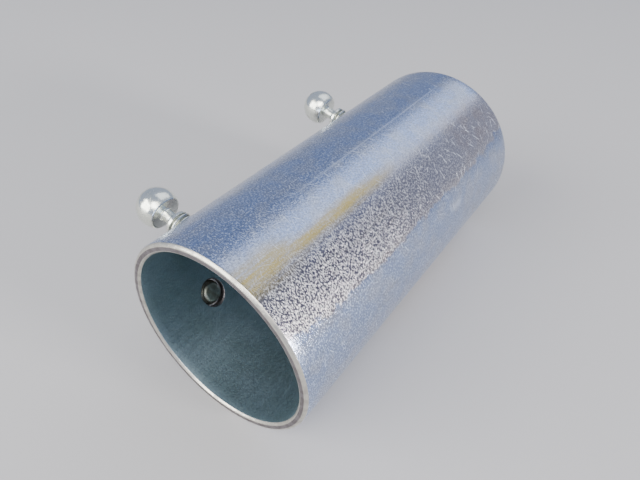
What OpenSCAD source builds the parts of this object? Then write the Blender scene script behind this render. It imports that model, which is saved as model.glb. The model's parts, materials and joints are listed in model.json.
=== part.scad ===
// Sleeve coupling for plain-ended conduit: one steel sleeve joins two conduits end to end,
// and two set screws near each mouth bite into the conduit that is pushed in there.
// Each screw's ball is its drive: it twists off at the thin neck once the screw is tight.
//
// Origin: the middle of the bore. +X runs along the bore, +Y points to the side that the
// screws are on, and +Z is up. The coupling lies on its sleeve and on its two lower balls.
// At rest the screws are backed out until their ends are level with the bore.

/* [Sleeve] */
// Outside diameter of the conduit that slides in
conduit_d = 38.1; // [31.8:0.1:51]
// Play between the conduit and the bore, on the diameter
bore_play = 0.3; // [0.2:0.05:0.6]
// Thickness of the sleeve's wall
wall_t = 1.9; // [1.6:0.1:2.6]
// Length of the sleeve from mouth to mouth
sleeve_len = 89; // [70:1:130]
// Size of the 45 degree bevel around the outside of each mouth
outer_bevel = 0.5; // [0.2:0.1:0.9]
// Size of the deburred edge inside each mouth
inner_bevel = 0.25; // [0.1:0.05:0.4]

/* [Places of the set screws] */
// Distance from the left mouth to its pair of screws
left_station = 15.5; // [10:0.5:22]
// Distance from the right mouth to its pair of screws
right_station = 13.5; // [10:0.5:22]
// Angle between the upper and the lower screw of a pair
pair_angle = 45; // [40:1:60]
// How far the screws' ends stand into the bore at rest
end_stand = 0.2; // [0:0.05:0.2]

/* [Set screws] */
// Outside diameter of the thread
thread_d = 6; // [5:1:6]
// Pitch of the thread
pitch = 1; // [0.8:0.1:1]
// Depth of the thread's grooves
thread_depth = 0.5; // [0.3:0.05:0.6]
// Gap between the thread's crests and the hole in the sleeve, on the radius
thread_gap = 0.05; // [0.02:0.01:0.1]
// Length of the shank, from the screw's end to the top of its collar
shank_len = 6.7; // [5:0.1:9]
// Length of the unthreaded point at the screw's end
point_len = 0.9; // [0.5:0.1:1.5]
// Diameter of the point's round end
point_d = 4.6; // [3:0.1:4.8]
// Diameter of the plain collar above the thread
collar_d = 5.6; // [5:0.1:5.8]
// Length of the collar
collar_len = 0.7; // [0.4:0.1:1.2]
// Diameter of the thin neck that breaks
neck_d = 2.8; // [2:0.1:3.4]
// Length of the neck between the collar and the ball
neck_len = 3; // [1.5:0.1:4]
// Diameter of the ball
ball_d = 9; // [8:0.1:10]
// Distance from the ball's centre down to its flat underside
ball_seat = 2.5; // [2:0.1:3]
// Width of the slot and the cross in the ball's outer end
drive_w = 1.2; // [0.8:0.1:1.5]
// Depth of the slot
slot_depth = 1.4; // [0.8:0.1:1.6]
// Depth of the cross
cross_depth = 2; // [1:0.1:2.4]
// Length of each bar of the cross
cross_len = 4.4; // [3:0.1:5]

/* [Hidden] */

sleeve_smooth = 128;
screw_smooth = 64;
overcut = 1;

bore_r = (conduit_d + bore_play) / 2;
sleeve_r = bore_r + wall_t;
mouth_x = sleeve_len / 2;
left_x = left_station - mouth_x;
right_x = mouth_x - right_station;

crest_r = thread_d / 2;
root_r = crest_r - thread_depth;
hole_r = crest_r + thread_gap;
neck_r = neck_d / 2;
ball_r = ball_d / 2;
point_r = point_d / 2;
collar_r = collar_d / 2;

// Heights along a screw, from its inner end
seat_z = shank_len + neck_len;
ball_z = seat_z + ball_seat;
end_reach = bore_r - end_stand;
ball_reach = end_reach + ball_z;

// The lower balls touch the same floor as the sleeve's underside
lower_angle = -asin((sleeve_r - ball_r) / ball_reach);
upper_angle = lower_angle + pair_angle;

// Thread: whole ridges that fit between the point and the collar
thread_len = shank_len - point_len - collar_len;
ridges = floor(thread_len / pitch);
ridge_start = point_len + (thread_len - ridges * pitch) / 2;
crest_flat = 0.15 * pitch;
end_round = 0.6;
collar_bevel = 0.15;
neck_flare = 0.8;
neck_fillet = 0.3;

// Puts a shape made along +Z on a screw's axis: +Z points out of the sleeve, z = 0 is on the bore's axis
module on_screw_axis(x, angle) {
    translate([x, 0, 0]) rotate([angle - 90, 0, 0]) children();
}

// Outline of the sleeve's wall, as radius and distance along the bore
function wall_outline() = [
    [bore_r + inner_bevel, -mouth_x],
    [sleeve_r - outer_bevel, -mouth_x],
    [sleeve_r, outer_bevel - mouth_x],
    [sleeve_r, mouth_x - outer_bevel],
    [sleeve_r - outer_bevel, mouth_x],
    [bore_r + inner_bevel, mouth_x],
    [bore_r, mouth_x - inner_bevel],
    [bore_r, inner_bevel - mouth_x]
];

// Four outline points of one thread ridge that starts at height z
function ridge_outline(z) = [
    [root_r, z],
    [crest_r, z + (pitch - crest_flat) / 2],
    [crest_r, z + (pitch + crest_flat) / 2],
    [root_r, z + pitch]
];

// Outline of the threaded shank and the neck, as radius and height
function shank_outline() = concat(
    [[0, 0], [point_r - end_round, 0]],
    [for (a = [30, 60, 90]) [point_r - end_round * (1 - sin(a)), end_round * (1 - cos(a))]],
    [[root_r, point_len]],
    [for (i = [0 : ridges - 1]) each ridge_outline(ridge_start + i * pitch)],
    [
        [root_r, shank_len - collar_len],
        [collar_r, shank_len - collar_len],
        [collar_r, shank_len - collar_bevel],
        [collar_r - collar_bevel, shank_len],
        [neck_r + neck_flare, shank_len],
        [neck_r, shank_len + neck_flare],
        [neck_r, seat_z - neck_fillet],
        [neck_r + neck_fillet, seat_z],
        [neck_r + neck_fillet, ball_z],
        [0, ball_z]
    ]
);

// A bar of the drive recess, cut into the ball's outer end
module drive_bar(length, depth) {
    translate([-length / 2, -drive_w / 2, ball_r - depth]) cube([length, drive_w, depth + overcut]);
}

// Ball with a flat underside, a slot right across its outer end, and a shorter and deeper cross
module ball() {
    difference() {
        sphere(r = ball_r, $fn = screw_smooth);
        translate([-ball_r, -ball_r, -ball_seat - ball_d]) cube(ball_d);
        drive_bar(ball_d, slot_depth);
        drive_bar(cross_len, cross_depth);
        rotate([0, 0, 90]) drive_bar(cross_len, cross_depth);
    }
}

module set_screw() {
    color("gainsboro") union() {
        rotate_extrude($fn = screw_smooth) polygon(shank_outline());
        translate([0, 0, ball_z]) ball();
    }
}

module placed_screw(x, angle) {
    on_screw_axis(x, angle) translate([0, 0, end_reach]) set_screw();
}

module screw_hole(x, angle) {
    on_screw_axis(x, angle) cylinder(h = sleeve_r + overcut, r = hole_r, $fn = screw_smooth);
}

module sleeve() {
    color("lightsteelblue") difference() {
        rotate([0, 90, 0]) rotate_extrude($fn = sleeve_smooth) polygon(wall_outline());
        for (x = [left_x, right_x], angle = [lower_angle, upper_angle]) screw_hole(x, angle);
    }
}

module left_upper_screw() { placed_screw(left_x, upper_angle); }
module left_lower_screw() { placed_screw(left_x, lower_angle); }
module right_upper_screw() { placed_screw(right_x, upper_angle); }
module right_lower_screw() { placed_screw(right_x, lower_angle); }

sleeve();
left_upper_screw();
left_lower_screw();
right_upper_screw();
right_lower_screw();
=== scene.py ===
# %% [markdown]
# # A zinc-plated conduit coupling
# The real part is a short length of steel tube with two set screws near each mouth. Two conduits are pushed
# into it from its two ends, and the screws bite into them. The lesson builds the tube and the screws with
# bmesh operators, and gives each a worn zinc finish made of small node groups. It gives the sizes, the
# places and the bodies that move, so that nothing here is fitted by eye.

# %% Load the frame
import json
import math

import bmesh
import bpy
from mathutils import Matrix, Vector

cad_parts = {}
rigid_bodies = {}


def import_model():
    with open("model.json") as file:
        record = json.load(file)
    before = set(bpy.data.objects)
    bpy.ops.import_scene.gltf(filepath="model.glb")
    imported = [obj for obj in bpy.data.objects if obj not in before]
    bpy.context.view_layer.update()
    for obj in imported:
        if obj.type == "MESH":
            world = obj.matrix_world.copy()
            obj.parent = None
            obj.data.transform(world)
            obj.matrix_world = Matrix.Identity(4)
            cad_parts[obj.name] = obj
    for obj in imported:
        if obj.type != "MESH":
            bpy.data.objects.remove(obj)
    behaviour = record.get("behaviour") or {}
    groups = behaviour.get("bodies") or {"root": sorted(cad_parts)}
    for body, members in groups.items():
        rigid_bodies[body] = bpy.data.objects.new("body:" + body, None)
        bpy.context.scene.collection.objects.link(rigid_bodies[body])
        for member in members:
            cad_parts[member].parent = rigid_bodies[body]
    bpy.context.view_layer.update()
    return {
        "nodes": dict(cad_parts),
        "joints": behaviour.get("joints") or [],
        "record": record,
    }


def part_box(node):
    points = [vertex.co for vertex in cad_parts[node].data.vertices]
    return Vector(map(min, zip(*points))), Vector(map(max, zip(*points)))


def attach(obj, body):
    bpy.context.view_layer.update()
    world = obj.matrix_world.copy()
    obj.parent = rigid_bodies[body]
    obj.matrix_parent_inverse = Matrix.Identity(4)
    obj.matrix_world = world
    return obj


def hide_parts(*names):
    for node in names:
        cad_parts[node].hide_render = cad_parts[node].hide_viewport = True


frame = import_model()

print("CAD nodes:", sorted(frame["nodes"]))

# %% [markdown]
# The main sizes are read from the frame. The bore's radius stands in the record's mounts, the sleeve's radius
# and length are half of its box, and each screw's axis is its joint's axis turned round to point outwards.
# A screw's two ends are the lowest and the highest point of its node along that axis.

# %% Sizes from the frame
MM = 0.001
mounts = {m["name"]: m for m in frame["record"]["mounts"]}
bore_r = mounts["right_conduit"]["dims"]["r_mm"] * MM
sleeve_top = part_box("sleeve")[1]
sleeve_r, mouth_x = sleeve_top.z, sleeve_top.x
floor_z = -sleeve_r
print(f"bore {bore_r / MM:.2f} mm, sleeve {sleeve_r / MM:.2f} mm, half length {mouth_x / MM:.2f} mm")


def screw_place(joint):
    """Where a screw sits: its station along the bore, its outward axis, and its inner and outer ends."""
    outward = -Vector(joint["axis"]).normalized()
    low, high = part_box(joint["child"])
    heights = [v.co.dot(outward) for v in frame["nodes"][joint["child"]].data.vertices]
    return {"x": (low.x + high.x) / 2, "outward": outward, "inner": min(heights), "outer": max(heights)}


screws = {joint["child"]: screw_place(joint) for joint in frame["joints"]}
first_low, first_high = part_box(next(iter(screws)))
ball_r = (first_high.x - first_low.x) / 2
for name, place in screws.items():
    inner, outer = place["inner"] / MM, place["outer"] / MM
    print(name, f"x {place['x'] / MM:.1f} mm, from {inner:.2f} to {outer:.2f} mm")

# %% [markdown]
# ## Stage
# A part like this is shown on a plain pale floor. The camera looks down along the tube from above its left
# mouth, close enough for the mouth to look much larger than the far end. Its place is given by the way it
# looks: two angles, a small roll, a distance, and the point beside the bore's axis that it looks at.

# %% Camera
CAM_AZIMUTH, CAM_ELEVATION, CAM_ROLL = math.radians(-56.85), math.radians(41.05), math.radians(3.42)
CAM_DISTANCE, CAM_LENS = 118.3 * MM, 30.0
CAM_TARGET = Vector((-0.2227 * mouth_x, 0.9 * MM, 0.6 * MM))


def towards(azimuth, elevation):
    """The unit vector from the part towards a viewer. Azimuth 0 looks along +Y."""
    level = math.cos(elevation)
    return Vector((math.sin(azimuth) * level, -math.cos(azimuth) * level, math.sin(elevation)))


def facing(direction, distance, point=Vector((0, 0, 0))):
    """The matrix that puts a camera or a lamp at a distance from a point and turns it to face the point."""
    turn = direction.to_track_quat("Z", "Y").to_matrix().to_4x4()
    return Matrix.Translation(point + direction * distance) @ turn


camera = bpy.data.objects.new("camera", bpy.data.cameras.new("camera"))
bpy.context.scene.collection.objects.link(camera)
camera.matrix_world = facing(towards(CAM_AZIMUTH, CAM_ELEVATION), CAM_DISTANCE, CAM_TARGET)
camera.matrix_world @= Matrix.Rotation(CAM_ROLL, 4, "Z")
camera.data.lens = CAM_LENS
camera.data.clip_start, camera.data.clip_end = 1 * MM, 10.0
bpy.context.scene.camera = camera
print("camera at", [round(c / MM, 1) for c in camera.matrix_world.translation], "mm")

# %% [markdown]
# Metal shows what stands around it, so the lights are as much a part of its look as its material. A long
# soft panel over the tube, parallel to it, makes a broad band with straight edges along its top. A key panel
# beyond the left mouth lights the bevel and the bore. A large window panel at the back lights the screws and
# shines in the eased edge inside the mouth. A small glint panel, low in front, stands where the smooth plate
# doesn't mirror it, so that only the rough scuffs catch its light. The world is dim and bluish, so that the
# tube is darker between the panels.

# %% Floor and lights
FLOOR_SIZE = 1.6
FLOOR_COLOUR, FLOOR_ROUGHNESS = (0.42, 0.41, 0.41, 1), 0.9
WORLD_COLOUR, WORLD_STRENGTH = (0.54, 0.62, 0.84, 1), 0.75


def new_material(name):
    """An empty node material, with its tree and its Principled shader."""
    material = bpy.data.materials.new(name)
    material.use_nodes = True
    return material, material.node_tree, material.node_tree.nodes["Principled BSDF"]


floor_mesh = bpy.data.meshes.new("floor")
bm = bmesh.new()
bmesh.ops.create_grid(bm, x_segments=1, y_segments=1, size=FLOOR_SIZE)
bmesh.ops.translate(bm, verts=bm.verts, vec=(0, 0, floor_z))
bm.to_mesh(floor_mesh)
bm.free()
floor = bpy.data.objects.new("floor", floor_mesh)
bpy.context.scene.collection.objects.link(floor)
floor_paint, _, floor_shader = new_material("floor_paint")
floor_shader.inputs["Base Color"].default_value = FLOOR_COLOUR
floor_shader.inputs["Roughness"].default_value = FLOOR_ROUGHNESS
floor_mesh.materials.append(floor_paint)


def panel(name, matrix, size, power, colour):
    """A soft light panel that shines along its own -Z, with its size in metres and its power in watts."""
    light = bpy.data.lights.new(name, "AREA")
    light.shape = "RECTANGLE"
    light.size, light.size_y = size
    light.energy = power
    light.color = colour
    lamp = bpy.data.objects.new(name, light)
    lamp.matrix_world = matrix
    bpy.context.scene.collection.objects.link(lamp)


panel("over_panel", Matrix.Translation((0.85, -0.03, 0.70)), (1.5, 0.58), 3.4, (0.96, 0.98, 1.0))
key_way = Vector((-0.55, -0.35, 0.76)).normalized()
panel("key_panel", facing(key_way, 1.0), (0.6, 0.6), 9, (1.0, 0.98, 0.95))
window_way = Vector((-0.79, 0.40, 0.46)).normalized()
panel("window_panel", facing(window_way, 0.8), (0.7, 0.6), 10, (1.0, 0.99, 0.94))
glint_way = Vector((0.10, -0.97, 0.22)).normalized()
panel("glint_panel", facing(glint_way, 0.9), (0.20, 0.14), 11, (1.0, 0.97, 0.94))
world = bpy.data.worlds.new("studio")
world.use_nodes = True
sky = world.node_tree.nodes["Background"]
sky.inputs["Color"].default_value = WORLD_COLOUR
sky.inputs["Strength"].default_value = WORLD_STRENGTH
bpy.context.scene.world = world
print("floor at", round(floor_z / MM, 2), "mm, four panels")

# %% [markdown]
# ## Finish
# The finish is zinc plate with a thin clear blue passivation. Its colour is a cool bluish grey, bluer than
# the
# passivation alone gives: the extra blue is a painted reflection of blue surroundings. What makes it look
# real
# is what has happened to it: scuffs and flecks of many sizes, a fine grain in the plate, faint clouds, and a
# golden run where the passivation dried thicker. Each of these effects is a node group that puts out a mask,
# and every material mixes the masks with its own strengths.

# %% Node helpers
def new_group(name, inputs, outputs):
    """A shader node group with float or vector inputs, given as name: default, and float outputs."""
    group = bpy.data.node_groups.new(name, "ShaderNodeTree")
    for label, default in inputs.items():
        kind = "NodeSocketVector" if default is None else "NodeSocketFloat"
        socket = group.interface.new_socket(name=label, in_out="INPUT", socket_type=kind)
        if default is not None:
            socket.default_value = default
    for label in outputs:
        group.interface.new_socket(name=label, in_out="OUTPUT", socket_type="NodeSocketFloat")
    return group, group.nodes.new("NodeGroupInput").outputs, group.nodes.new("NodeGroupOutput").inputs


def fill(tree, socket, value):
    """Puts a number into an input socket, or links an output socket to it."""
    if isinstance(value, (int, float)):
        socket.default_value = value
    else:
        tree.links.new(value, socket)


def math_node(tree, operation, *values):
    """A Math node; each value is a number or an output socket. Returns its output."""
    node = tree.nodes.new("ShaderNodeMath")
    node.operation = operation
    for socket, value in zip(node.inputs, values):
        fill(tree, socket, value)
    return node.outputs[0]


def between(tree, mask, low, high):
    """A value that goes from low, where the mask is 0, to high, where it is 1."""
    return math_node(tree, "MULTIPLY_ADD", mask, high - low, low)


def smooth_step(tree, value, start, end):
    """A mask that goes softly from 0 at start to 1 at end. Start may be the larger of the two."""
    node = tree.nodes.new("ShaderNodeMapRange")
    node.interpolation_type = "SMOOTHSTEP"
    fill(tree, node.inputs["Value"], value)
    fill(tree, node.inputs["From Min"], start)
    fill(tree, node.inputs["From Max"], end)
    return node.outputs["Result"]


def split_vector(tree, vector):
    node = tree.nodes.new("ShaderNodeSeparateXYZ")
    tree.links.new(vector, node.inputs[0])
    return node.outputs


def join_vector(tree, *values):
    node = tree.nodes.new("ShaderNodeCombineXYZ")
    for socket, value in zip(node.inputs, values):
        fill(tree, socket, value)
    return node.outputs[0]


def place_group(tree, group, **values):
    """A group placed in a tree, with numbers or sockets for its inputs. Returns its outputs."""
    node = tree.nodes.new("ShaderNodeGroup")
    node.node_tree = group
    for label, value in values.items():
        fill(tree, node.inputs[label.replace("_", " ")], value)
    return node.outputs


def mix_colour(tree, factor, first, second):
    """Goes from the first colour to the second. A colour is three numbers or an output socket."""
    node = tree.nodes.new("ShaderNodeMix")
    node.data_type = "RGBA"
    fill(tree, node.inputs["Factor"], factor)
    for socket, colour in ((node.inputs[6], first), (node.inputs[7], second)):
        if isinstance(colour, tuple):
            socket.default_value = (*colour, 1)
        else:
            tree.links.new(colour, socket)
    return node.outputs[2]


def strongest(tree, masks):
    """The largest of several masks at each point."""
    result = masks[0]
    for mask in masks[1:]:
        result = math_node(tree, "MAXIMUM", result, mask)
    return result


def add_bump(tree, height, distance, strength=1.0, normal=None):
    """A Bump node whose full height is a distance in metres. Returns the normal."""
    bump = tree.nodes.new("ShaderNodeBump")
    bump.inputs["Strength"].default_value = strength
    bump.inputs["Distance"].default_value = distance
    tree.links.new(height, bump.inputs["Height"])
    if normal is not None:
        tree.links.new(normal, bump.inputs["Normal"])
    return bump.outputs["Normal"]


print("node helpers ready")

# %% [markdown]
# A round piece's own coordinates make a pattern follow its surface: how far along its axis a point is, how
# far round it is as a length, and how far out from the axis. The group takes an axis that lies along X, and
# a vector in metres, and puts the three out in millimetres. The angle is counted from +Z, so that the place
# where it jumps lies underneath, on the line that the tube rests on.

# %% Group: unroll
UNROLL_INPUTS = {"Vector": None, "Girth radius": 10.0}
unroll, into, out_of = new_group("unroll", UNROLL_INPUTS, ("Along", "Around", "Radius"))
x_out, y_out, z_out = split_vector(unroll, into["Vector"])
z_squared = math_node(unroll, "MULTIPLY", z_out, z_out)
radius = math_node(unroll, "SQRT", math_node(unroll, "MULTIPLY_ADD", y_out, y_out, z_squared))
angle = math_node(unroll, "ARCTAN2", y_out, z_out)
fill(unroll, out_of["Along"], math_node(unroll, "DIVIDE", x_out, MM))
fill(unroll, out_of["Around"], math_node(unroll, "MULTIPLY", angle, into["Girth radius"]))
fill(unroll, out_of["Radius"], math_node(unroll, "DIVIDE", radius, MM))
print("unroll gives", [socket.name for socket in out_of if socket.name])

# %% [markdown]
# A scuff is a short straight line. The surface is divided into cells by a Voronoi texture, which gives every
# cell a centre and a random colour. The colour turns the cell's own coordinates by a random angle, and the
# scuff is where the turned coordinates are near its line. Its length and its depth are random too, and a
# share of the cells is left empty. Stacking several sizes of cell gives the crowd of nicks, scratches and
# hairlines that loose parts in a bin get.

# %% Group: scuffs
SCUFF_INPUTS = {"Along": 0.0, "Around": 0.0, "Cell": 2.0, "Length": 1.0, "Width": 0.1}
SCUFF_INPUTS |= {"Share": 0.5, "Lean": 1.0}
SHORTEST_HALF, LONGEST_HALF, SHALLOWEST = 0.1, 0.5, 0.5
scuffs, into, out_of = new_group("scuffs", SCUFF_INPUTS, ("Mask",))
place_in_cells = join_vector(
    scuffs,
    math_node(scuffs, "DIVIDE", into["Along"], into["Cell"]),
    math_node(scuffs, "DIVIDE", into["Around"], into["Cell"]),
)
cells = scuffs.nodes.new("ShaderNodeTexVoronoi")
cells.voronoi_dimensions = "2D"
cells.inputs["Scale"].default_value = 1.0
scuffs.links.new(place_in_cells, cells.inputs["Vector"])
from_centre = scuffs.nodes.new("ShaderNodeVectorMath")
from_centre.operation = "SUBTRACT"
scuffs.links.new(place_in_cells, from_centre.inputs[0])
scuffs.links.new(cells.outputs["Position"], from_centre.inputs[1])
lean_chance, length_chance, use_chance = split_vector(scuffs, cells.outputs["Color"])
lean = math_node(scuffs, "MULTIPLY", math_node(scuffs, "SUBTRACT", lean_chance, 0.5), math.pi)
turned = scuffs.nodes.new("ShaderNodeVectorRotate")
turned.rotation_type = "Z_AXIS"
scuffs.links.new(from_centre.outputs[0], turned.inputs["Vector"])
fill(scuffs, turned.inputs["Angle"], math_node(scuffs, "MULTIPLY", lean, into["Lean"]))
line_across, line_along, _ = split_vector(scuffs, turned.outputs[0])
off_line = math_node(scuffs, "MULTIPLY", math_node(scuffs, "ABSOLUTE", line_across), into["Cell"])
off_middle = math_node(scuffs, "MULTIPLY", math_node(scuffs, "ABSOLUTE", line_along), into["Cell"])
half_share = between(scuffs, length_chance, SHORTEST_HALF, LONGEST_HALF)
half_length = math_node(scuffs, "MULTIPLY", into["Length"], half_share)
thin = smooth_step(scuffs, off_line, math_node(scuffs, "MULTIPLY", into["Width"], 0.5), 0.0)
short = smooth_step(scuffs, off_middle, half_length, math_node(scuffs, "MULTIPLY", half_length, 0.5))
used = math_node(scuffs, "LESS_THAN", use_chance, into["Share"])
depth = between(scuffs, length_chance, SHALLOWEST, 1.0)
mask = math_node(scuffs, "MULTIPLY", math_node(scuffs, "MULTIPLY", thin, short), used)
fill(scuffs, out_of["Mask"], math_node(scuffs, "MULTIPLY", mask, depth))
print("scuffs:", len(scuffs.nodes), "nodes")

# %% [markdown]
# Two noises do the rest. Cloud is the same in every direction, for stains, changes of gloss and the grain
# of the plate. Streaks is stretched by a size of its own along, around and out from the axis, for marks that
# the tube's drawing, a lathe or running liquid has left. With very small sizes it gives flecks.

# %% Groups: cloud and streaks
def finish_noise(group, vector, detail, into, out_of):
    """Adds a noise of feature size 1 at a vector, and puts out the part of it between Low and High."""
    noise = group.nodes.new("ShaderNodeTexNoise")
    noise.inputs["Detail"].default_value = detail
    noise.inputs["Roughness"].default_value = 0.55
    noise.inputs["Scale"].default_value = 1.0
    group.links.new(vector, noise.inputs["Vector"])
    fill(group, out_of["Mask"], smooth_step(group, noise.outputs["Fac"], into["Low"], into["High"]))


CLOUD_INPUTS = {"Vector": None, "Size": 5.0, "Low": 0.35, "High": 0.65}
cloud, into, out_of = new_group("cloud", CLOUD_INPUTS, ("Mask",))
scaled = cloud.nodes.new("ShaderNodeVectorMath")
scaled.operation = "SCALE"
cloud.links.new(into["Vector"], scaled.inputs[0])
fill(cloud, scaled.inputs["Scale"], math_node(cloud, "DIVIDE", 1 / MM, into["Size"]))
finish_noise(cloud, scaled.outputs[0], 3.0, into, out_of)

STREAK_INPUTS = {"Along": 0.0, "Around": 0.0, "Radius": 0.0, "Size along": 20.0, "Size around": 1.0}
STREAK_INPUTS |= {"Size out": 5.0, "Low": 0.35, "High": 0.65}
streaks, into, out_of = new_group("streaks", STREAK_INPUTS, ("Mask",))
stretched = join_vector(
    streaks,
    math_node(streaks, "DIVIDE", into["Along"], into["Size along"]),
    math_node(streaks, "DIVIDE", into["Around"], into["Size around"]),
    math_node(streaks, "DIVIDE", into["Radius"], into["Size out"]),
)
finish_noise(streaks, stretched, 2.0, into, out_of)
print("cloud:", len(cloud.nodes), "nodes, streaks:", len(streaks.nodes), "nodes")

# %% [markdown]
# Some marks have a place of their own on the tube: a rubbed zone, a bloom, a run that starts at a mouth. The
# patch group gives such a mark a middle, a half length and a half width on the unrolled surface. Its edge is
# soft by the share Soft, and an uneven value fed into Ragged moves the edge in and out. Its ends are blunter
# than an ellipse's, because the length enters with a higher power.

# %% Group: patch
PATCH_INPUTS = {"Along": 0.0, "Around": 0.0, "At along": 0.0, "At around": 0.0, "Half along": 10.0}
PATCH_INPUTS |= {"Half around": 5.0, "Soft": 0.4, "Ragged": 0.0}
patch, into, out_of = new_group("patch", PATCH_INPUTS, ("Mask",))


def share_of_half(axis):
    """How far a point is from the patch's middle, in half lengths or half widths."""
    off = math_node(patch, "SUBTRACT", into[axis.capitalize()], into[f"At {axis}"])
    return math_node(patch, "DIVIDE", off, into[f"Half {axis}"])


across, lengthwise = share_of_half("around"), share_of_half("along")
length_power = math_node(patch, "POWER", math_node(patch, "ABSOLUTE", lengthwise), 4.0)
reach = math_node(patch, "SQRT", math_node(patch, "MULTIPLY_ADD", across, across, length_power))
reach = math_node(patch, "ADD", reach, into["Ragged"])
inner_reach = math_node(patch, "SUBTRACT", 1.0, into["Soft"])
fill(patch, out_of["Mask"], smooth_step(patch, reach, 1.0, inner_reach))
print("patch:", len(patch.nodes), "nodes")

# %% [markdown]
# ## Materials
# The outside of the tube carries every effect. The plate's colour comes first: a bluish grey, partly a
# painted blue reflection, clouded, with darker pits. Three long zones carry both wear and painted light:
# scuffs crowd in them, and their ground is a painted dark reflection band, darkest near the left mouth, where
# the wear is worst, and a hazy grey further along. The crown of the tube is left out of them.

# %% Material: zinc, outside of the tube
# The two plate colours are the zinc's bluish grey, and their strong blue is partly a painted reflection of
# blue surroundings.
PLATE_AND_BLUE_REFLECTION, CLOUDED_AND_BLUE_REFLECTION, PITTED = (0.36, 0.46, 0.71), (0.46, 0.52, 0.68), (0.08, 0.09, 0.13)
# The ground of the rubbed zones: a painted dark reflection near the left mouth, and a lighter, hazy grey
# further along.
DARK_REFLECTION_GROUND, HAZY = (0.23, 0.19, 0.20), (0.58, 0.53, 0.52)
GOLD, BROWN = (0.41, 0.32, 0.11), (0.50, 0.40, 0.36)
FAINT_SCUFF, BRIGHT_SCUFF_AND_GLINT = (0.72, 0.81, 0.97), (0.97, 0.95, 0.94)


def object_coordinates(tree):
    return tree.nodes.new("ShaderNodeTexCoord").outputs["Object"]


def tube_coordinates(tree, where):
    """Along and around on the tube, as inputs for the other groups, and the radius."""
    unrolled = place_group(tree, unroll, Vector=where, Girth_radius=sleeve_r / MM)
    return {"Along": unrolled["Along"], "Around": unrolled["Around"]}, unrolled["Radius"]


def scuff_layers(tree, flat, sizes):
    """The strongest of several sizes of scuff."""
    return strongest(tree, [place_group(tree, scuffs, **flat, **size)["Mask"] for size in sizes])


zinc_outside, tree, shader = new_material("zinc_outside")
where = object_coordinates(tree)
flat, _ = tube_coordinates(tree, where)
clouds = place_group(tree, cloud, Vector=where, Size=4.5, Low=0.38, High=0.64)["Mask"]
gloss = place_group(tree, cloud, Vector=where, Size=3.0, Low=0.3, High=0.7)["Mask"]
grain = place_group(tree, cloud, Vector=where, Size=0.35, Low=0.3, High=0.7)["Mask"]
ragged = between(tree, gloss, -0.08, 0.08)
# These zones are both where scuffs crowd and where the painted dark reflection band lies.
RUB_AND_REFLECTION_ZONES = (
    {"At_along": 0.0, "At_around": -14.0, "Half_along": 52.0, "Half_around": 8.4, "Soft": 0.10},
    {"At_along": -8.0, "At_around": 33.0, "Half_along": 34.0, "Half_around": 9.0, "Soft": 0.5},
    {"At_along": 14.0, "At_around": -52.0, "Half_along": 24.0, "Half_around": 7.0, "Soft": 0.5},
)
CROWN_AT, SPARED_TO, RUB_AND_REFLECTION_FROM = -1.0, 5.0, 13.0
NEAR_MOUTH_FADED, NEAR_MOUTH_FULL = 45.0, -40.0
PITTING, REFLECTION_COVER = 0.48, 0.85
off_crown = math_node(tree, "ABSOLUTE", math_node(tree, "SUBTRACT", flat["Around"], CROWN_AT))
beside_crown = smooth_step(tree, off_crown, SPARED_TO, RUB_AND_REFLECTION_FROM)
rub_and_reflection = strongest(
    tree, [place_group(tree, patch, **flat, **zone, Ragged=ragged)["Mask"] for zone in RUB_AND_REFLECTION_ZONES]
)
rub_and_reflection = math_node(tree, "MULTIPLY", rub_and_reflection, beside_crown)
# Strongest near the left mouth: the most wear, the darkest painted reflection and the brightest painted
# sparkle.
wear_and_glint_near_mouth = smooth_step(tree, flat["Along"], NEAR_MOUTH_FADED, NEAR_MOUTH_FULL)
# Where scuffs crowd, and where the painted sparkle is strongest.
crowd_and_sparkle = math_node(tree, "MULTIPLY", rub_and_reflection, wear_and_glint_near_mouth)
colour = mix_colour(tree, clouds, PLATE_AND_BLUE_REFLECTION, CLOUDED_AND_BLUE_REFLECTION)
colour = mix_colour(tree, math_node(tree, "MULTIPLY", grain, PITTING), colour, PITTED)
# The zones' ground colour is a painted dark reflection band, not the zinc's own colour.
reflection_ground = mix_colour(tree, wear_and_glint_near_mouth, HAZY, DARK_REFLECTION_GROUND)
colour = mix_colour(tree, math_node(tree, "MULTIPLY", rub_and_reflection, REFLECTION_COVER), colour, reflection_ground)
print("zinc_outside: plate and rubbed zones,", len(tree.nodes), "nodes")

# %% [markdown]
# Where the passivation ran off last while the tube hung on its rack, it dried thicker and is golden. The
# run starts wide at the left mouth and thins out, and streaks break it up. A second run lies at the back. A
# brown bloom lies near the right mouth and another at the back, and faint golden streaks lie all round.

# %% Material: golden run and brown bloom
GOLDEN_RUNS = (
    {"At_along": -22.0, "At_around": -9.2, "Half_along": 26.0, "Half_around": 2.6, "Soft": 0.9},
    {"At_along": -42.0, "At_around": -8.6, "Half_along": 14.0, "Half_around": 5.2, "Soft": 0.9},
    {"At_along": 22.0, "At_around": 40.0, "Half_along": 24.0, "Half_around": 3.0, "Soft": 0.9},
)
FAINT_GOLD = 0.12
BROWN_BLOOMS = (
    {"At_along": 34.0, "At_around": -15.0, "Half_along": 16.0, "Half_around": 8.0, "Soft": 0.9},
    {"At_along": -30.0, "At_around": 50.0, "Half_along": 18.0, "Half_around": 8.0, "Soft": 0.9},
)
breaks = place_group(tree, streaks, **flat, Size_along=10.0, Size_around=0.9, Low=0.30, High=0.62)["Mask"]
broken = between(tree, breaks, 0.46, 0.96)
faint = place_group(tree, streaks, **flat, Size_along=30.0, Size_around=2.6, Low=0.55, High=0.75)["Mask"]
golden = strongest(tree, [place_group(tree, patch, **flat, **run)["Mask"] for run in GOLDEN_RUNS])
golden = math_node(tree, "MULTIPLY", golden, broken)
golden = math_node(tree, "MAXIMUM", golden, math_node(tree, "MULTIPLY", faint, FAINT_GOLD))
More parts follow.
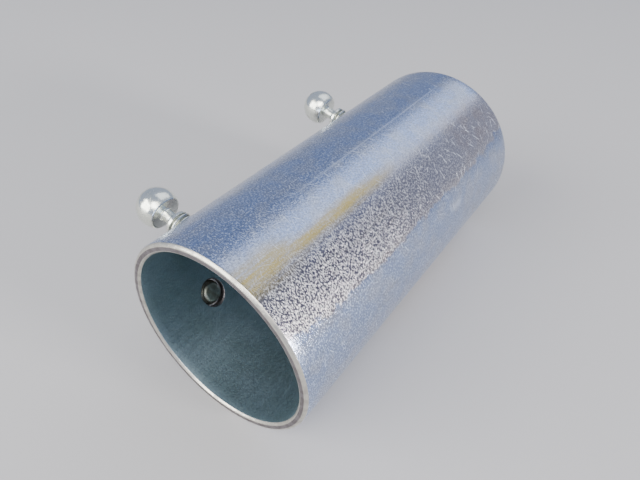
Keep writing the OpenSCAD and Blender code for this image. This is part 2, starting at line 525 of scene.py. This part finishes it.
bloom = strongest(tree, [place_group(tree, patch, **flat, **spot)["Mask"] for spot in BROWN_BLOOMS])
bloom = math_node(tree, "MULTIPLY", bloom, between(tree, clouds, 0.25, 0.70))
colour = mix_colour(tree, golden, colour, GOLD)
colour = mix_colour(tree, bloom, colour, BROWN)
print("zinc_outside: with runs and blooms,", len(tree.nodes), "nodes")

# %% [markdown]
# Nicks come in two sizes and scratches in three, and they mostly lie across the tube, as they do on a part
# that rolls against others. Between them lie flecks as fine as frost. The nicks and flecks are crowded and
# bright where the tube was rubbed most, near its left mouth, and fade along it; there, their crowding and
# whiteness are also a painted sparkle, a highlight broken into glints and painted into the colour. One long
# faint line runs along the top, where the tube slid on an edge, and there is one small worn spot. All of them
# together are one
# mask. A scuff scatters the light: it is lighter and rougher than the plate, not quite a mirror, and a bump
# tilts it. Where they crowd, the scuffs whiten towards a painted glint colour, which is half diffuse, so that
# it stays light whatever it faces. The golden run lies over the scuffs and softens them.

# %% Material: scuffs, gloss and relief of the outside
fine_share = between(tree, crowd_and_sparkle, 0.16, 0.61)
medium_share = between(tree, crowd_and_sparkle, 0.14, 0.49)
coarse_share = between(tree, rub_and_reflection, 0.15, 0.35)
NICKS = (
    {"Cell": 0.42, "Length": 0.9, "Width": 0.17, "Share": fine_share, "Lean": 0.6},
    {"Cell": 0.95, "Length": 1.5, "Width": 0.18, "Share": medium_share, "Lean": 0.55},
)
SCRATCHES = (
    {"Cell": 1.6, "Length": 2.0, "Width": 0.24, "Share": coarse_share, "Lean": 0.5},
    {"Cell": 3.4, "Length": 3.6, "Width": 0.20, "Share": coarse_share, "Lean": 0.5},
    {"Cell": 6.5, "Length": 6.0, "Width": 0.16, "Share": 0.16, "Lean": 0.8},
)
WORN_SPOTS = (
    {"At_along": 6.0, "At_around": -1.1, "Half_along": 40.0, "Half_around": 0.40, "Soft": 0.9},
    {"At_along": 13.5, "At_around": -26.5, "Half_along": 3.5, "Half_around": 1.7, "Soft": 0.9},
)
CROWDING, WORN_THROUGH, SCUFFED_THROUGH = 2.2, 0.25, 0.95
densest = math_node(tree, "POWER", crowd_and_sparkle, CROWDING)
nicks = math_node(tree, "MULTIPLY", between(tree, densest, 0.42, 1.0), scuff_layers(tree, flat, NICKS))
scratches = between(tree, rub_and_reflection, 0.75, 1.0)
scratches = math_node(tree, "MULTIPLY", scratches, scuff_layers(tree, flat, SCRATCHES))
# The frost is fine flecks and, crowded near the left mouth, a painted sparkle.
frost_and_sparkle = place_group(tree, streaks, **flat, Size_along=0.23, Size_around=0.46, Low=0.54, High=0.61)["Mask"]
frost_and_sparkle_share = math_node(tree, "MULTIPLY", densest, between(tree, clouds, 0.60, 0.95))
frost_and_sparkle_share = math_node(tree, "MULTIPLY_ADD", frost_and_sparkle_share, 0.80, between(tree, wear_and_glint_near_mouth, 0.22, 0.38))
frost_and_sparkle = math_node(tree, "MULTIPLY", frost_and_sparkle, frost_and_sparkle_share)
worn = strongest(tree, [place_group(tree, patch, **flat, **spot)["Mask"] for spot in WORN_SPOTS])
worn = math_node(tree, "MULTIPLY", worn, WORN_THROUGH)
scuff_mask = strongest(tree, [nicks, scratches, frost_and_sparkle, worn])
scuff_mask = math_node(tree, "MULTIPLY", scuff_mask, between(tree, golden, 1.0, 0.4))
# The scuffs whiten where they crowd near the left mouth: a painted glint.
scuff_and_glint_colour = mix_colour(tree, crowd_and_sparkle, FAINT_SCUFF, BRIGHT_SCUFF_AND_GLINT)
colour = mix_colour(tree, math_node(tree, "MULTIPLY", scuff_mask, SCUFFED_THROUGH), colour, scuff_and_glint_colour)
tree.links.new(colour, shader.inputs["Base Color"])
fill(tree, shader.inputs["Metallic"], between(tree, scuff_mask, 1.0, 0.5))
roughness = between(tree, gloss, 0.15, 0.20)
roughness = math_node(tree, "MULTIPLY_ADD", grain, 0.06, roughness)
fill(tree, shader.inputs["Roughness"], math_node(tree, "MULTIPLY_ADD", scuff_mask, 0.32, roughness))
relief = add_bump(tree, grain, 0.012 * MM)
relief = add_bump(tree, scuff_mask, 0.012 * MM, normal=relief)
tree.links.new(relief, shader.inputs["Normal"])
print("zinc_outside:", len(tree.nodes), "nodes")

# %% [markdown]
# The bore was never rubbed by other parts, so it has hardly any scuffs. The plate is thinner in there, and
# greener and duller, with a sandy grain in its colour, and long faint lines in its gloss from the drawing of
# the tube. Its colours are also kept dark as painted shade inside the bore.

# %% Material: zinc, bore
# Both bore colours are kept dark, partly as painted shade inside the bore.
BORE_PLATE_AND_SHADE, BORE_DULL_AND_SHADE = (0.34, 0.44, 0.50), (0.24, 0.33, 0.35)
BORE_SCUFFS = (
    {"Cell": 2.6, "Length": 1.6, "Width": 0.14, "Share": 0.25, "Lean": 1.0},
    {"Cell": 9.0, "Length": 9.0, "Width": 0.12, "Share": 0.35, "Lean": 1.0},
)
zinc_bore, tree, shader = new_material("zinc_bore")
where = object_coordinates(tree)
flat, _ = tube_coordinates(tree, where)
drawing = place_group(tree, streaks, **flat, Size_along=25.0, Size_around=0.5, Low=0.35, High=0.65)["Mask"]
dull = place_group(tree, cloud, Vector=where, Size=8.0, Low=0.35, High=0.65)["Mask"]
grain = place_group(tree, cloud, Vector=where, Size=0.35, Low=0.3, High=0.7)["Mask"]
scuff_mask = scuff_layers(tree, flat, BORE_SCUFFS)
mottle = math_node(tree, "MULTIPLY_ADD", grain, 0.5, math_node(tree, "MULTIPLY", dull, 0.5))
colour = mix_colour(tree, mottle, BORE_PLATE_AND_SHADE, BORE_DULL_AND_SHADE)
colour = mix_colour(tree, math_node(tree, "MULTIPLY", scuff_mask, 0.35), colour, FAINT_SCUFF)
tree.links.new(colour, shader.inputs["Base Color"])
shader.inputs["Metallic"].default_value = 1.0
roughness = between(tree, grain, 0.38, 0.52)
fill(tree, shader.inputs["Roughness"], math_node(tree, "MULTIPLY_ADD", drawing, 0.03, roughness))
tree.links.new(add_bump(tree, grain, 0.008 * MM), shader.inputs["Normal"])
print("zinc_bore:", len(tree.nodes), "nodes")

# %% [markdown]
# The mouths were faced and bevelled on a lathe before plating. The face keeps its fine rings and is dull and
# brownish. The bevel and the eased edge inside it are much lighter and creamy: partly wear from handling, and
# partly a painted highlight along the rim. The two finishes differ only in their colours, gloss and depth of
# rings, so one function makes both.

# %% Materials: faced end and bright edge
def turned_metal(name, light, dark, shine, ring_depth):
    """Plated metal with a lathe's rings, dark spots and dents. Shine is its least roughness."""
    material, tree, shader = new_material(name)
    where = object_coordinates(tree)
    flat, radius = tube_coordinates(tree, where)
    ring_sizes = {"Size_along": 0.10, "Size_around": 14.0, "Size_out": 0.10, "Low": 0.35, "High": 0.65}
    rings = place_group(tree, streaks, **flat, Radius=radius, **ring_sizes)["Mask"]
    spots = place_group(tree, cloud, Vector=where, Size=1.6, Low=0.42, High=0.66)["Mask"]
    nicks = place_group(tree, cloud, Vector=where, Size=0.5, Low=0.6, High=0.7)["Mask"]
    colour = mix_colour(tree, math_node(tree, "MULTIPLY", rings, 0.35), light, dark)
    colour = mix_colour(tree, math_node(tree, "MULTIPLY", spots, 0.55), colour, dark)
    tree.links.new(colour, shader.inputs["Base Color"])
    shader.inputs["Metallic"].default_value = 1.0
    roughness = between(tree, spots, shine, shine + 0.15)
    fill(tree, shader.inputs["Roughness"], math_node(tree, "MULTIPLY_ADD", rings, 0.08, roughness))
    relief = add_bump(tree, rings, ring_depth * MM)
    tree.links.new(add_bump(tree, nicks, -0.02 * MM, normal=relief), shader.inputs["Normal"])
    return material


FACE_LIGHT, FACE_DARK = (0.27, 0.25, 0.26), (0.12, 0.10, 0.10)
# The edge's light colour is partly wear and partly a painted highlight along the rim.
EDGE_LIGHT_AND_HIGHLIGHT, EDGE_DARK = (0.70, 0.68, 0.60), (0.36, 0.34, 0.31)
faced_end_and_hole_shade = turned_metal("faced_end_and_hole_shade", FACE_LIGHT, FACE_DARK, shine=0.34, ring_depth=0.010)
bright_edge = turned_metal("bright_edge", EDGE_LIGHT_AND_HIGHLIGHT, EDGE_DARK, shine=0.28, ring_depth=0.004)
print("faced_end_and_hole_shade and bright_edge:", len(faced_end_and_hole_shade.node_tree.nodes), "nodes each")

# %% [markdown]
# The screws have the same plating on a smooth rolled and headed surface, so they are much brighter, with a
# faint yellow-green cast. Their patterns are read from an attribute that holds each point's place on the
# screw before it was put on its axis, so that all four screws carry the marks in the same way. On the thread
# and the point the plate is thin, and the colour darkens wherever the surface is deeper than the thread's
# crests: dirt in the grooves, and a painted dark reflection on the point, which lies wholly inside them.

# %% Materials: bright screw and its thread
SCREW_PLACE = "screw_place"
SCREW_LIGHT, SCREW_TARNISHED = (0.86, 0.88, 0.80), (0.58, 0.60, 0.52)
THREAD_LIGHT, THREAD_DIRT_AND_PAINTED_DARK = (0.78, 0.80, 0.72), (0.20, 0.21, 0.17)
CREST_CLEAN, DARKEST_INSIDE = 2.95, 2.60
SCREW_SCUFFS = (
    {"Cell": 1.3, "Length": 1.0, "Width": 0.10, "Share": 0.35, "Lean": 1.0},
    {"Cell": 3.2, "Length": 3.0, "Width": 0.10, "Share": 0.45, "Lean": 1.0},
)


def screw_coordinates(tree):
    """A screw's own coordinates, with its axis along X, and the same unrolled."""
    attribute = tree.nodes.new("ShaderNodeAttribute")
    attribute.attribute_name = SCREW_PLACE
    where = attribute.outputs["Vector"]
    unrolled = place_group(tree, unroll, Vector=where, Girth_radius=ball_r / MM)
    return where, {"Along": unrolled["Along"], "Around": unrolled["Around"]}, unrolled["Radius"]


zinc_screw, tree, shader = new_material("zinc_screw")
where, flat, _ = screw_coordinates(tree)
scuff_mask = scuff_layers(tree, flat, SCREW_SCUFFS)
tarnish = place_group(tree, cloud, Vector=where, Size=2.6, Low=0.48, High=0.70)["Mask"]
dents = place_group(tree, cloud, Vector=where, Size=0.9, Low=0.35, High=0.65)["Mask"]
colour = mix_colour(tree, math_node(tree, "MULTIPLY", tarnish, 0.5), SCREW_LIGHT, SCREW_TARNISHED)
tree.links.new(colour, shader.inputs["Base Color"])
shader.inputs["Metallic"].default_value = 1.0
roughness = between(tree, tarnish, 0.20, 0.32)
fill(tree, shader.inputs["Roughness"], math_node(tree, "MULTIPLY_ADD", scuff_mask, 0.25, roughness))
relief = add_bump(tree, dents, 0.010 * MM)
tree.links.new(add_bump(tree, scuff_mask, -0.010 * MM, normal=relief), shader.inputs["Normal"])
print("zinc_screw:", len(tree.nodes), "nodes")

screw_thread, tree, shader = new_material("screw_thread")
where, _, radius = screw_coordinates(tree)
# Darker inside the crests: dirt in the thread's grooves, and a painted dark reflection on the point.
inside_crests = smooth_step(tree, radius, CREST_CLEAN, DARKEST_INSIDE)
dirt_and_painted_dark = place_group(tree, cloud, Vector=where, Size=1.2, Low=0.35, High=0.60)["Mask"]
dirt_and_painted_dark = math_node(tree, "MULTIPLY", inside_crests, between(tree, dirt_and_painted_dark, 0.55, 0.95))
tree.links.new(mix_colour(tree, dirt_and_painted_dark, THREAD_LIGHT, THREAD_DIRT_AND_PAINTED_DARK), shader.inputs["Base Color"])
shader.inputs["Metallic"].default_value = 1.0
fill(tree, shader.inputs["Roughness"], between(tree, dirt_and_painted_dark, 0.20, 0.50))
print("screw_thread:", len(tree.nodes), "nodes")

# %% [markdown]
# ## Shapes
# A tube, a screw and the cutter of a tapped hole are all solids of revolution, and one helper makes them.
# It takes the corners of half a section, each with its radius, its height and how far it is cut back. A
# vertex bevel with several segments turns a corner into an arc. The outline is then spun about Z. Spinning
# keeps every ring of faces regular, so highlights run straight, which a boolean of cylinders wouldn't give.

# %% Shape helpers
SHARP_ANGLE = math.radians(32)
MERGE_GAP = 0.0005 * MM


def spin_section(corners, steps, arc_segments=4, cuts=0):
    """A bmesh of the section through corners (radius, height, cut back), in metres, spun about Z."""
    bm = bmesh.new()
    points = [bm.verts.new((radius, 0, height)) for radius, height, _ in corners]
    bm.faces.new(points)
    for reach in sorted({back for _, _, back in corners if back}):
        chosen = [point for point, corner in zip(points, corners) if corner[2] == reach]
        bmesh.ops.bevel(
            bm, geom=chosen, offset=reach, segments=arc_segments,
            profile=0.5, affect="VERTICES", material=-1,
        )
    bmesh.ops.delete(bm, geom=list(bm.faces), context="FACES_ONLY")
    on_axis = [e for e in bm.edges if max(v.co.x for v in e.verts) < MERGE_GAP]
    bmesh.ops.delete(bm, geom=on_axis, context="EDGES")
    if cuts:
        longest = max(e.calc_length() for e in bm.edges)
        walls = [e for e in bm.edges if e.calc_length() > longest / 2]
        bmesh.ops.subdivide_edges(bm, edges=walls, cuts=cuts)
    outline = list(bm.verts) + list(bm.edges)
    bmesh.ops.spin(
        bm, geom=outline, cent=(0, 0, 0), axis=(0, 0, 1), angle=2 * math.pi, steps=steps, use_merge=True
    )
    close_up(bm)
    return bm


def close_up(bm):
    """Merges what lies on one spot, and turns all faces outwards."""
    bmesh.ops.remove_doubles(bm, verts=bm.verts, dist=MERGE_GAP)
    bmesh.ops.recalc_face_normals(bm, faces=bm.faces)


def make_piece(bm, name, materials):
    """An object of a bmesh, with its material slots."""
    mesh = bpy.data.meshes.new(name)
    bm.to_mesh(mesh)
    bm.free()
    for material in materials:
        mesh.materials.append(material)
    piece = bpy.data.objects.new(name, mesh)
    bpy.context.scene.collection.objects.link(piece)
    return piece


def combine(piece, other, operation):
    """Applies an exact boolean with another object, and removes that object."""
    modifier = piece.modifiers.new("combine", "BOOLEAN")
    modifier.operation = operation
    modifier.solver = "EXACT"
    modifier.object = other
    bpy.context.view_layer.update()
    shaped = bpy.data.meshes.new_from_object(piece.evaluated_get(bpy.context.evaluated_depsgraph_get()))
    piece.modifiers.clear()
    piece.data = shaped
    bpy.data.objects.remove(other)


def edit_mesh(piece, change):
    """Runs a function on a bmesh of the piece's mesh, and writes it back."""
    bm = bmesh.new()
    bm.from_mesh(piece.data)
    change(bm)
    bm.to_mesh(piece.data)
    bm.free()


def shade_smooth(bm):
    """Closes the mesh, and makes it smooth except where the surface turns sharply."""
    close_up(bm)
    for face in bm.faces:
        face.smooth = True
    for edge in bm.edges:
        edge.smooth = edge.calc_face_angle(math.pi) < SHARP_ANGLE
    open_edges = sum(not edge.is_manifold for edge in bm.edges)
    print("  closed" if open_edges == 0 else f"  {open_edges} open edges", "with", len(bm.faces), "faces")


print("shape helpers ready")

# %% [markdown]
# ## The tube
# Its section is a long rectangle. Its corners are cut back at 45 degrees, the outer ones more than the inner
# ones, and every edge that this leaves is softened by a much smaller arc. The walls are subdivided along the
# tube, so that the holes are cut into small faces. The tube is spun about Z and then turned to lie along X.

# %% Tube: section and spin
OUTER_BEVEL, INNER_BEVEL, SOFTENING = 0.50 * MM, 0.40 * MM, 0.08 * MM
TUBE_STEPS, WALL_CUTS = 240, 44
ALONG_X = Matrix.Rotation(math.radians(90), 4, "Y")


def tube_section():
    """The wall's corners, the same at both mouths."""
    half = [
        (bore_r, mouth_x - INNER_BEVEL, SOFTENING),
        (bore_r + INNER_BEVEL, mouth_x, SOFTENING),
        (sleeve_r - OUTER_BEVEL, mouth_x, 2 * SOFTENING),
        (sleeve_r, mouth_x - OUTER_BEVEL, 2 * SOFTENING),
    ]
    return half + [(radius, -height, back) for radius, height, back in reversed(half)]


bm = spin_section(tube_section(), TUBE_STEPS, arc_segments=2, cuts=WALL_CUTS)
bmesh.ops.transform(bm, matrix=ALONG_X, verts=bm.verts)
print("tube:", len(bm.faces), "faces")

# %% [markdown]
# Each part of the surface gets its own material by where its faces lie: the outside, the bore, the faced
# ends, and the bright edges on either side of them. A face near a mouth is on the end only if it lies right
# at the mouth, and is an edge if it lies a little further in.

# %% Tube: materials by place
TUBE_MATERIALS = (zinc_outside, zinc_bore, faced_end_and_hole_shade, bright_edge)
OUTSIDE, BORE, FACED, BRIGHT = range(4)
wall_mid = (bore_r + sleeve_r) / 2


def tube_finish(face):
    """Which of the tube's materials a face takes."""
    middle = face.calc_center_median()
    out, from_mouth = math.hypot(middle.y, middle.z), mouth_x - abs(middle.x)
    if from_mouth < MERGE_GAP:
        return FACED
    if out > wall_mid:
        return OUTSIDE if from_mouth > OUTER_BEVEL else BRIGHT
    return BORE if from_mouth > INNER_BEVEL else BRIGHT


for face in bm.faces:
    face.material_index = tube_finish(face)
tube_piece = make_piece(bm, "sleeve_tube", TUBE_MATERIALS)
print("tube finishes:", sorted({material.name for material in TUBE_MATERIALS}))

# %% [markdown]
# The tapped holes are cut with a boolean each. A cutter is a spun section too: a cylinder that widens where
# it leaves the wall on either side, so that the hole's lips are eased, as a countersink before the tap leaves
# them. The hole is a little larger than the thread all round, which keeps the two apart. The cutter carries
# the faced material, and the cut takes it over, so the inside of a hole is as dull and dark as the ends of
# the
# tube: a painted shade ring around each screw's point.

# %% Tube: tapped holes
thread_r = 3.0 * MM
HOLE_GAP, FLARE = 0.05 * MM, 1.0 * MM
LIP_OUT, LIP_IN = 0.32 * MM, 0.05 * MM
HOLE_STEPS = 96


def stand_on_axis(place, height):
    """The matrix that carries a shape from +Z onto a screw's axis, to a height above the bore's axis."""
    turn = place["outward"].to_track_quat("Z", "X").to_matrix().to_4x4()
    return Matrix.Translation(Vector((place["x"], 0, 0)) + place["outward"] * height) @ turn


def hole_cutter(place):
    """A piece that widens at both ends, on a screw's axis."""
    hole_r = thread_r + HOLE_GAP
    corners = [
        (0, bore_r + LIP_IN - FLARE, 0),
        (hole_r + FLARE, bore_r + LIP_IN - FLARE, 0),
        (hole_r, bore_r + LIP_IN, 0),
        (hole_r, sleeve_r - LIP_OUT, 0),
        (hole_r + FLARE, sleeve_r - LIP_OUT + FLARE, 0),
        (0, sleeve_r - LIP_OUT + FLARE, 0),
    ]
    bm = spin_section(corners, HOLE_STEPS)
    bmesh.ops.transform(bm, matrix=stand_on_axis(place, 0), verts=bm.verts)
    # The hole's walls take the dark faced colour: a painted shade ring around the screw.
    for face in bm.faces:
        face.material_index = FACED
    return make_piece(bm, "hole_cutter", TUBE_MATERIALS)


for place in screws.values():
    combine(tube_piece, hole_cutter(place), "DIFFERENCE")
edit_mesh(tube_piece, shade_smooth)
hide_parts("sleeve")
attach(tube_piece, "sleeve")
print("sleeve_tube rides on sleeve")

# %% [markdown]
# ## The screws
# A break-off screw is headed and rolled from one piece of wire. From its inner end it has a short rounded
# point, a threaded shank, a plain collar, a thin neck that snaps at the right torque, and a ball with a flat
# underside. The solid without its thread is one spun section, and the ball's outline is an arc.

# %% Screw: sizes
POINT_R, POINT_LENGTH, POINT_ROUND = 2.3 * MM, 0.9 * MM, 0.75 * MM
THREAD_DEPTH, PITCH = 0.5 * MM, 1.0 * MM
SHANK_LENGTH = 6.7 * MM
COLLAR_R, COLLAR_LENGTH, COLLAR_ROUND = 2.8 * MM, 0.7 * MM, 0.20 * MM
NECK_R, NECK_LENGTH, NECK_FLARE, NECK_FILLET = 1.4 * MM, 3.0 * MM, 1.05 * MM, 0.45 * MM
BALL_EDGE = 0.3 * MM
ROOT_EASE_LOW, ROOT_EASE_HIGH = 0.2 * MM, 0.1 * MM
SCREW_STEPS, BALL_ARC_STEPS = 72, 30
place = next(iter(screws.values()))
root_r = thread_r - THREAD_DEPTH
ball_z = place["outer"] - place["inner"] - ball_r
seat_z = SHANK_LENGTH + NECK_LENGTH
seat_r = math.sqrt(ball_r**2 - (ball_z - seat_z) ** 2)
print(f"ball centre {ball_z / MM:.2f} mm and flat {seat_z / MM:.2f} mm above the inner end")


# %% Screw: spun body
def ball_arc():
    """Points of the ball's outline, from just past the rim of its flat underside to its top on the axis."""
    rim = math.atan2(seat_z - ball_z, seat_r)
    angles = [rim + (math.pi / 2 - rim) * i / BALL_ARC_STEPS for i in range(1, BALL_ARC_STEPS)]
    return [(ball_r * math.cos(a), ball_z + ball_r * math.sin(a), 0) for a in angles]


def screw_body():
    """The whole screw without its thread and its recess."""
    thread_end = SHANK_LENGTH - COLLAR_LENGTH
    corners = [
        (0, 0, 0),
        (POINT_R, 0, POINT_ROUND),
        (POINT_R, POINT_LENGTH, 0),
        (root_r, POINT_LENGTH + ROOT_EASE_LOW, 0),
        (root_r, thread_end - ROOT_EASE_HIGH, 0),
        (COLLAR_R, thread_end, 0),
        (COLLAR_R, SHANK_LENGTH, COLLAR_ROUND),
        (NECK_R, SHANK_LENGTH, NECK_FLARE),
        (NECK_R, seat_z, NECK_FILLET),
        (seat_r, seat_z, BALL_EDGE),
        *ball_arc(),
        (0, ball_z + ball_r, 0),
    ]
    return spin_section(corners, SCREW_STEPS)


SCREW_MATERIALS = (zinc_screw, screw_thread)
THREADED_PART = SCREW_MATERIALS.index(screw_thread)
screw_piece = make_piece(screw_body(), "screw_pattern", SCREW_MATERIALS)
print("screw body:", len(screw_piece.data.polygons), "faces")

# %% [markdown]
# The thread is a true helix. A small section of the ridge, with its crest slightly rounded, is spun about
# the screw's axis, and each step also lifts it by its share of the pitch. Cutting it to an envelope with
# conical ends makes the thread run out at both ends, as a rolled thread does. It is then joined to the body.

# %% Screw: thread
THREAD_STEPS = 48
CREST_FLAT, ROOT_FLAT, CREST_ROUND = 0.16 * MM, 0.10 * MM, 0.05 * MM
SINK = 0.08 * MM
RUN_OUT, END_GAP = 0.35 * MM, 0.1 * MM
thread_low = POINT_LENGTH + END_GAP
thread_high = SHANK_LENGTH - COLLAR_LENGTH + END_GAP


def ridge():
    """The ridge before it is cut to length, from half a turn below the thread to half a turn above it."""
    half_root, half_crest = (PITCH - ROOT_FLAT) / 2, CREST_FLAT / 2
    start = thread_low - PITCH / 2
    outline = ((root_r - SINK, -half_root), (root_r, -half_root), (thread_r, -half_crest))
    outline += tuple((radius, -height) for radius, height in reversed(outline))
    bm = bmesh.new()
    points = [bm.verts.new((radius, 0, start + height)) for radius, height in outline]
    bm.faces.new(points)
    crests = [point for point in points if point.co.x > thread_r - MERGE_GAP]
    bmesh.ops.bevel(
        bm, geom=crests, offset=CREST_ROUND, segments=2, profile=0.5, affect="VERTICES", material=-1
    )
    turns = (thread_high - thread_low) / PITCH + 1
    section = list(bm.faces) + list(bm.edges) + list(bm.verts)
    bmesh.ops.spin(
        bm, geom=section, cent=(0, 0, 0), axis=(0, 0, 1), angle=2 * math.pi * turns,
        steps=round(THREAD_STEPS * turns), dvec=(0, 0, PITCH / THREAD_STEPS), use_merge=False,
    )
    close_up(bm)
    return bm


def thread_envelope():
    """The solid that the ridge is cut to, with a cone at either end."""
    corners = [
        (0, thread_low, 0),
        (root_r - 2 * SINK, thread_low, 0),
        (thread_r + SINK, thread_low + RUN_OUT + THREAD_DEPTH, 0),
        (thread_r + SINK, thread_high - RUN_OUT, 0),
        (root_r - 2 * SINK, thread_high, 0),
        (0, thread_high, 0),
    ]
    return spin_section(corners, SCREW_STEPS)


ridge_piece = make_piece(ridge(), "ridge", SCREW_MATERIALS)
combine(ridge_piece, make_piece(thread_envelope(), "envelope", SCREW_MATERIALS), "INTERSECT")
combine(screw_piece, ridge_piece, "UNION")
print("screw with thread:", len(screw_piece.data.polygons), "faces")

# %% [markdown]
# The ball is turned with a screwdriver before it is snapped off, so its outer end has a slot right across
# it and a deeper, shorter cross. The slot is cut with one bar and the cross with two. The bars carry the
# thread's material, so that the middle of the recess is darker too.

# %% Screw: drive recess
DRIVE_WIDTH, SLOT_DEPTH, CROSS_DEPTH, CROSS_LENGTH = 1.2 * MM, 1.4 * MM, 2.0 * MM, 4.4 * MM
SLOT_LENGTH = 2.5 * ball_r
BARS = (
    (SLOT_LENGTH, DRIVE_WIDTH, SLOT_DEPTH),
    (CROSS_LENGTH, DRIVE_WIDTH, CROSS_DEPTH),
    (DRIVE_WIDTH, CROSS_LENGTH, CROSS_DEPTH),
)


def bar(length, width, depth):
    """A bar over the ball's outer end that reaches a depth into it."""
    bm = bmesh.new()
    bottom, top = ball_z + ball_r - depth, ball_z + ball_r + depth
    bmesh.ops.create_cube(bm, size=1)
    bmesh.ops.scale(bm, verts=bm.verts, vec=(length, width, top - bottom))
    bmesh.ops.translate(bm, verts=bm.verts, vec=(0, 0, (top + bottom) / 2))
    for face in bm.faces:
        face.material_index = THREADED_PART
    return make_piece(bm, "bar", SCREW_MATERIALS)


for bar_size in BARS:
    combine(screw_piece, bar(*bar_size), "DIFFERENCE")
print("screw with recess:", len(screw_piece.data.polygons), "faces")


# %% Screw: materials and marks
def finish_screw(bm):
    """Smooth shading, the thread's material, and each point's place on the screw as an attribute."""
    shade_smooth(bm)
    marks = bm.verts.layers.float_vector.new(SCREW_PLACE)
    for vert in bm.verts:
        vert[marks] = (vert.co.z, vert.co.x, vert.co.y)
    for face in bm.faces:
        height = face.calc_center_median().z
        # The point takes the thread's material too, so that it is dark: a painted dark reflection.
        if height < SHANK_LENGTH - COLLAR_LENGTH:
            face.material_index = THREADED_PART


edit_mesh(screw_piece, finish_screw)
print("thread's faces:", sum(face.material_index == THREADED_PART for face in screw_piece.data.polygons))

# %% [markdown]
# All four screws are copies of one pattern. Each copy is turned by its own angle about its axis, because no
# two screws stop at the same turn, and its place is written into its mesh. The pattern is then removed.

# %% Screw: four copies
TURNS = (20, 75, 130, 165)
for (name, place), turn in zip(sorted(screws.items()), TURNS):
    mesh = screw_piece.data.copy()
    mesh.transform(stand_on_axis(place, place["inner"]) @ Matrix.Rotation(math.radians(turn), 4, "Z"))
    copy = bpy.data.objects.new(name.replace("_screw", "_break_off_screw"), mesh)
    bpy.context.scene.collection.objects.link(copy)
    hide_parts(name)
    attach(copy, name)
    print(copy.name, "rides on", name)
bpy.data.objects.remove(screw_piece)
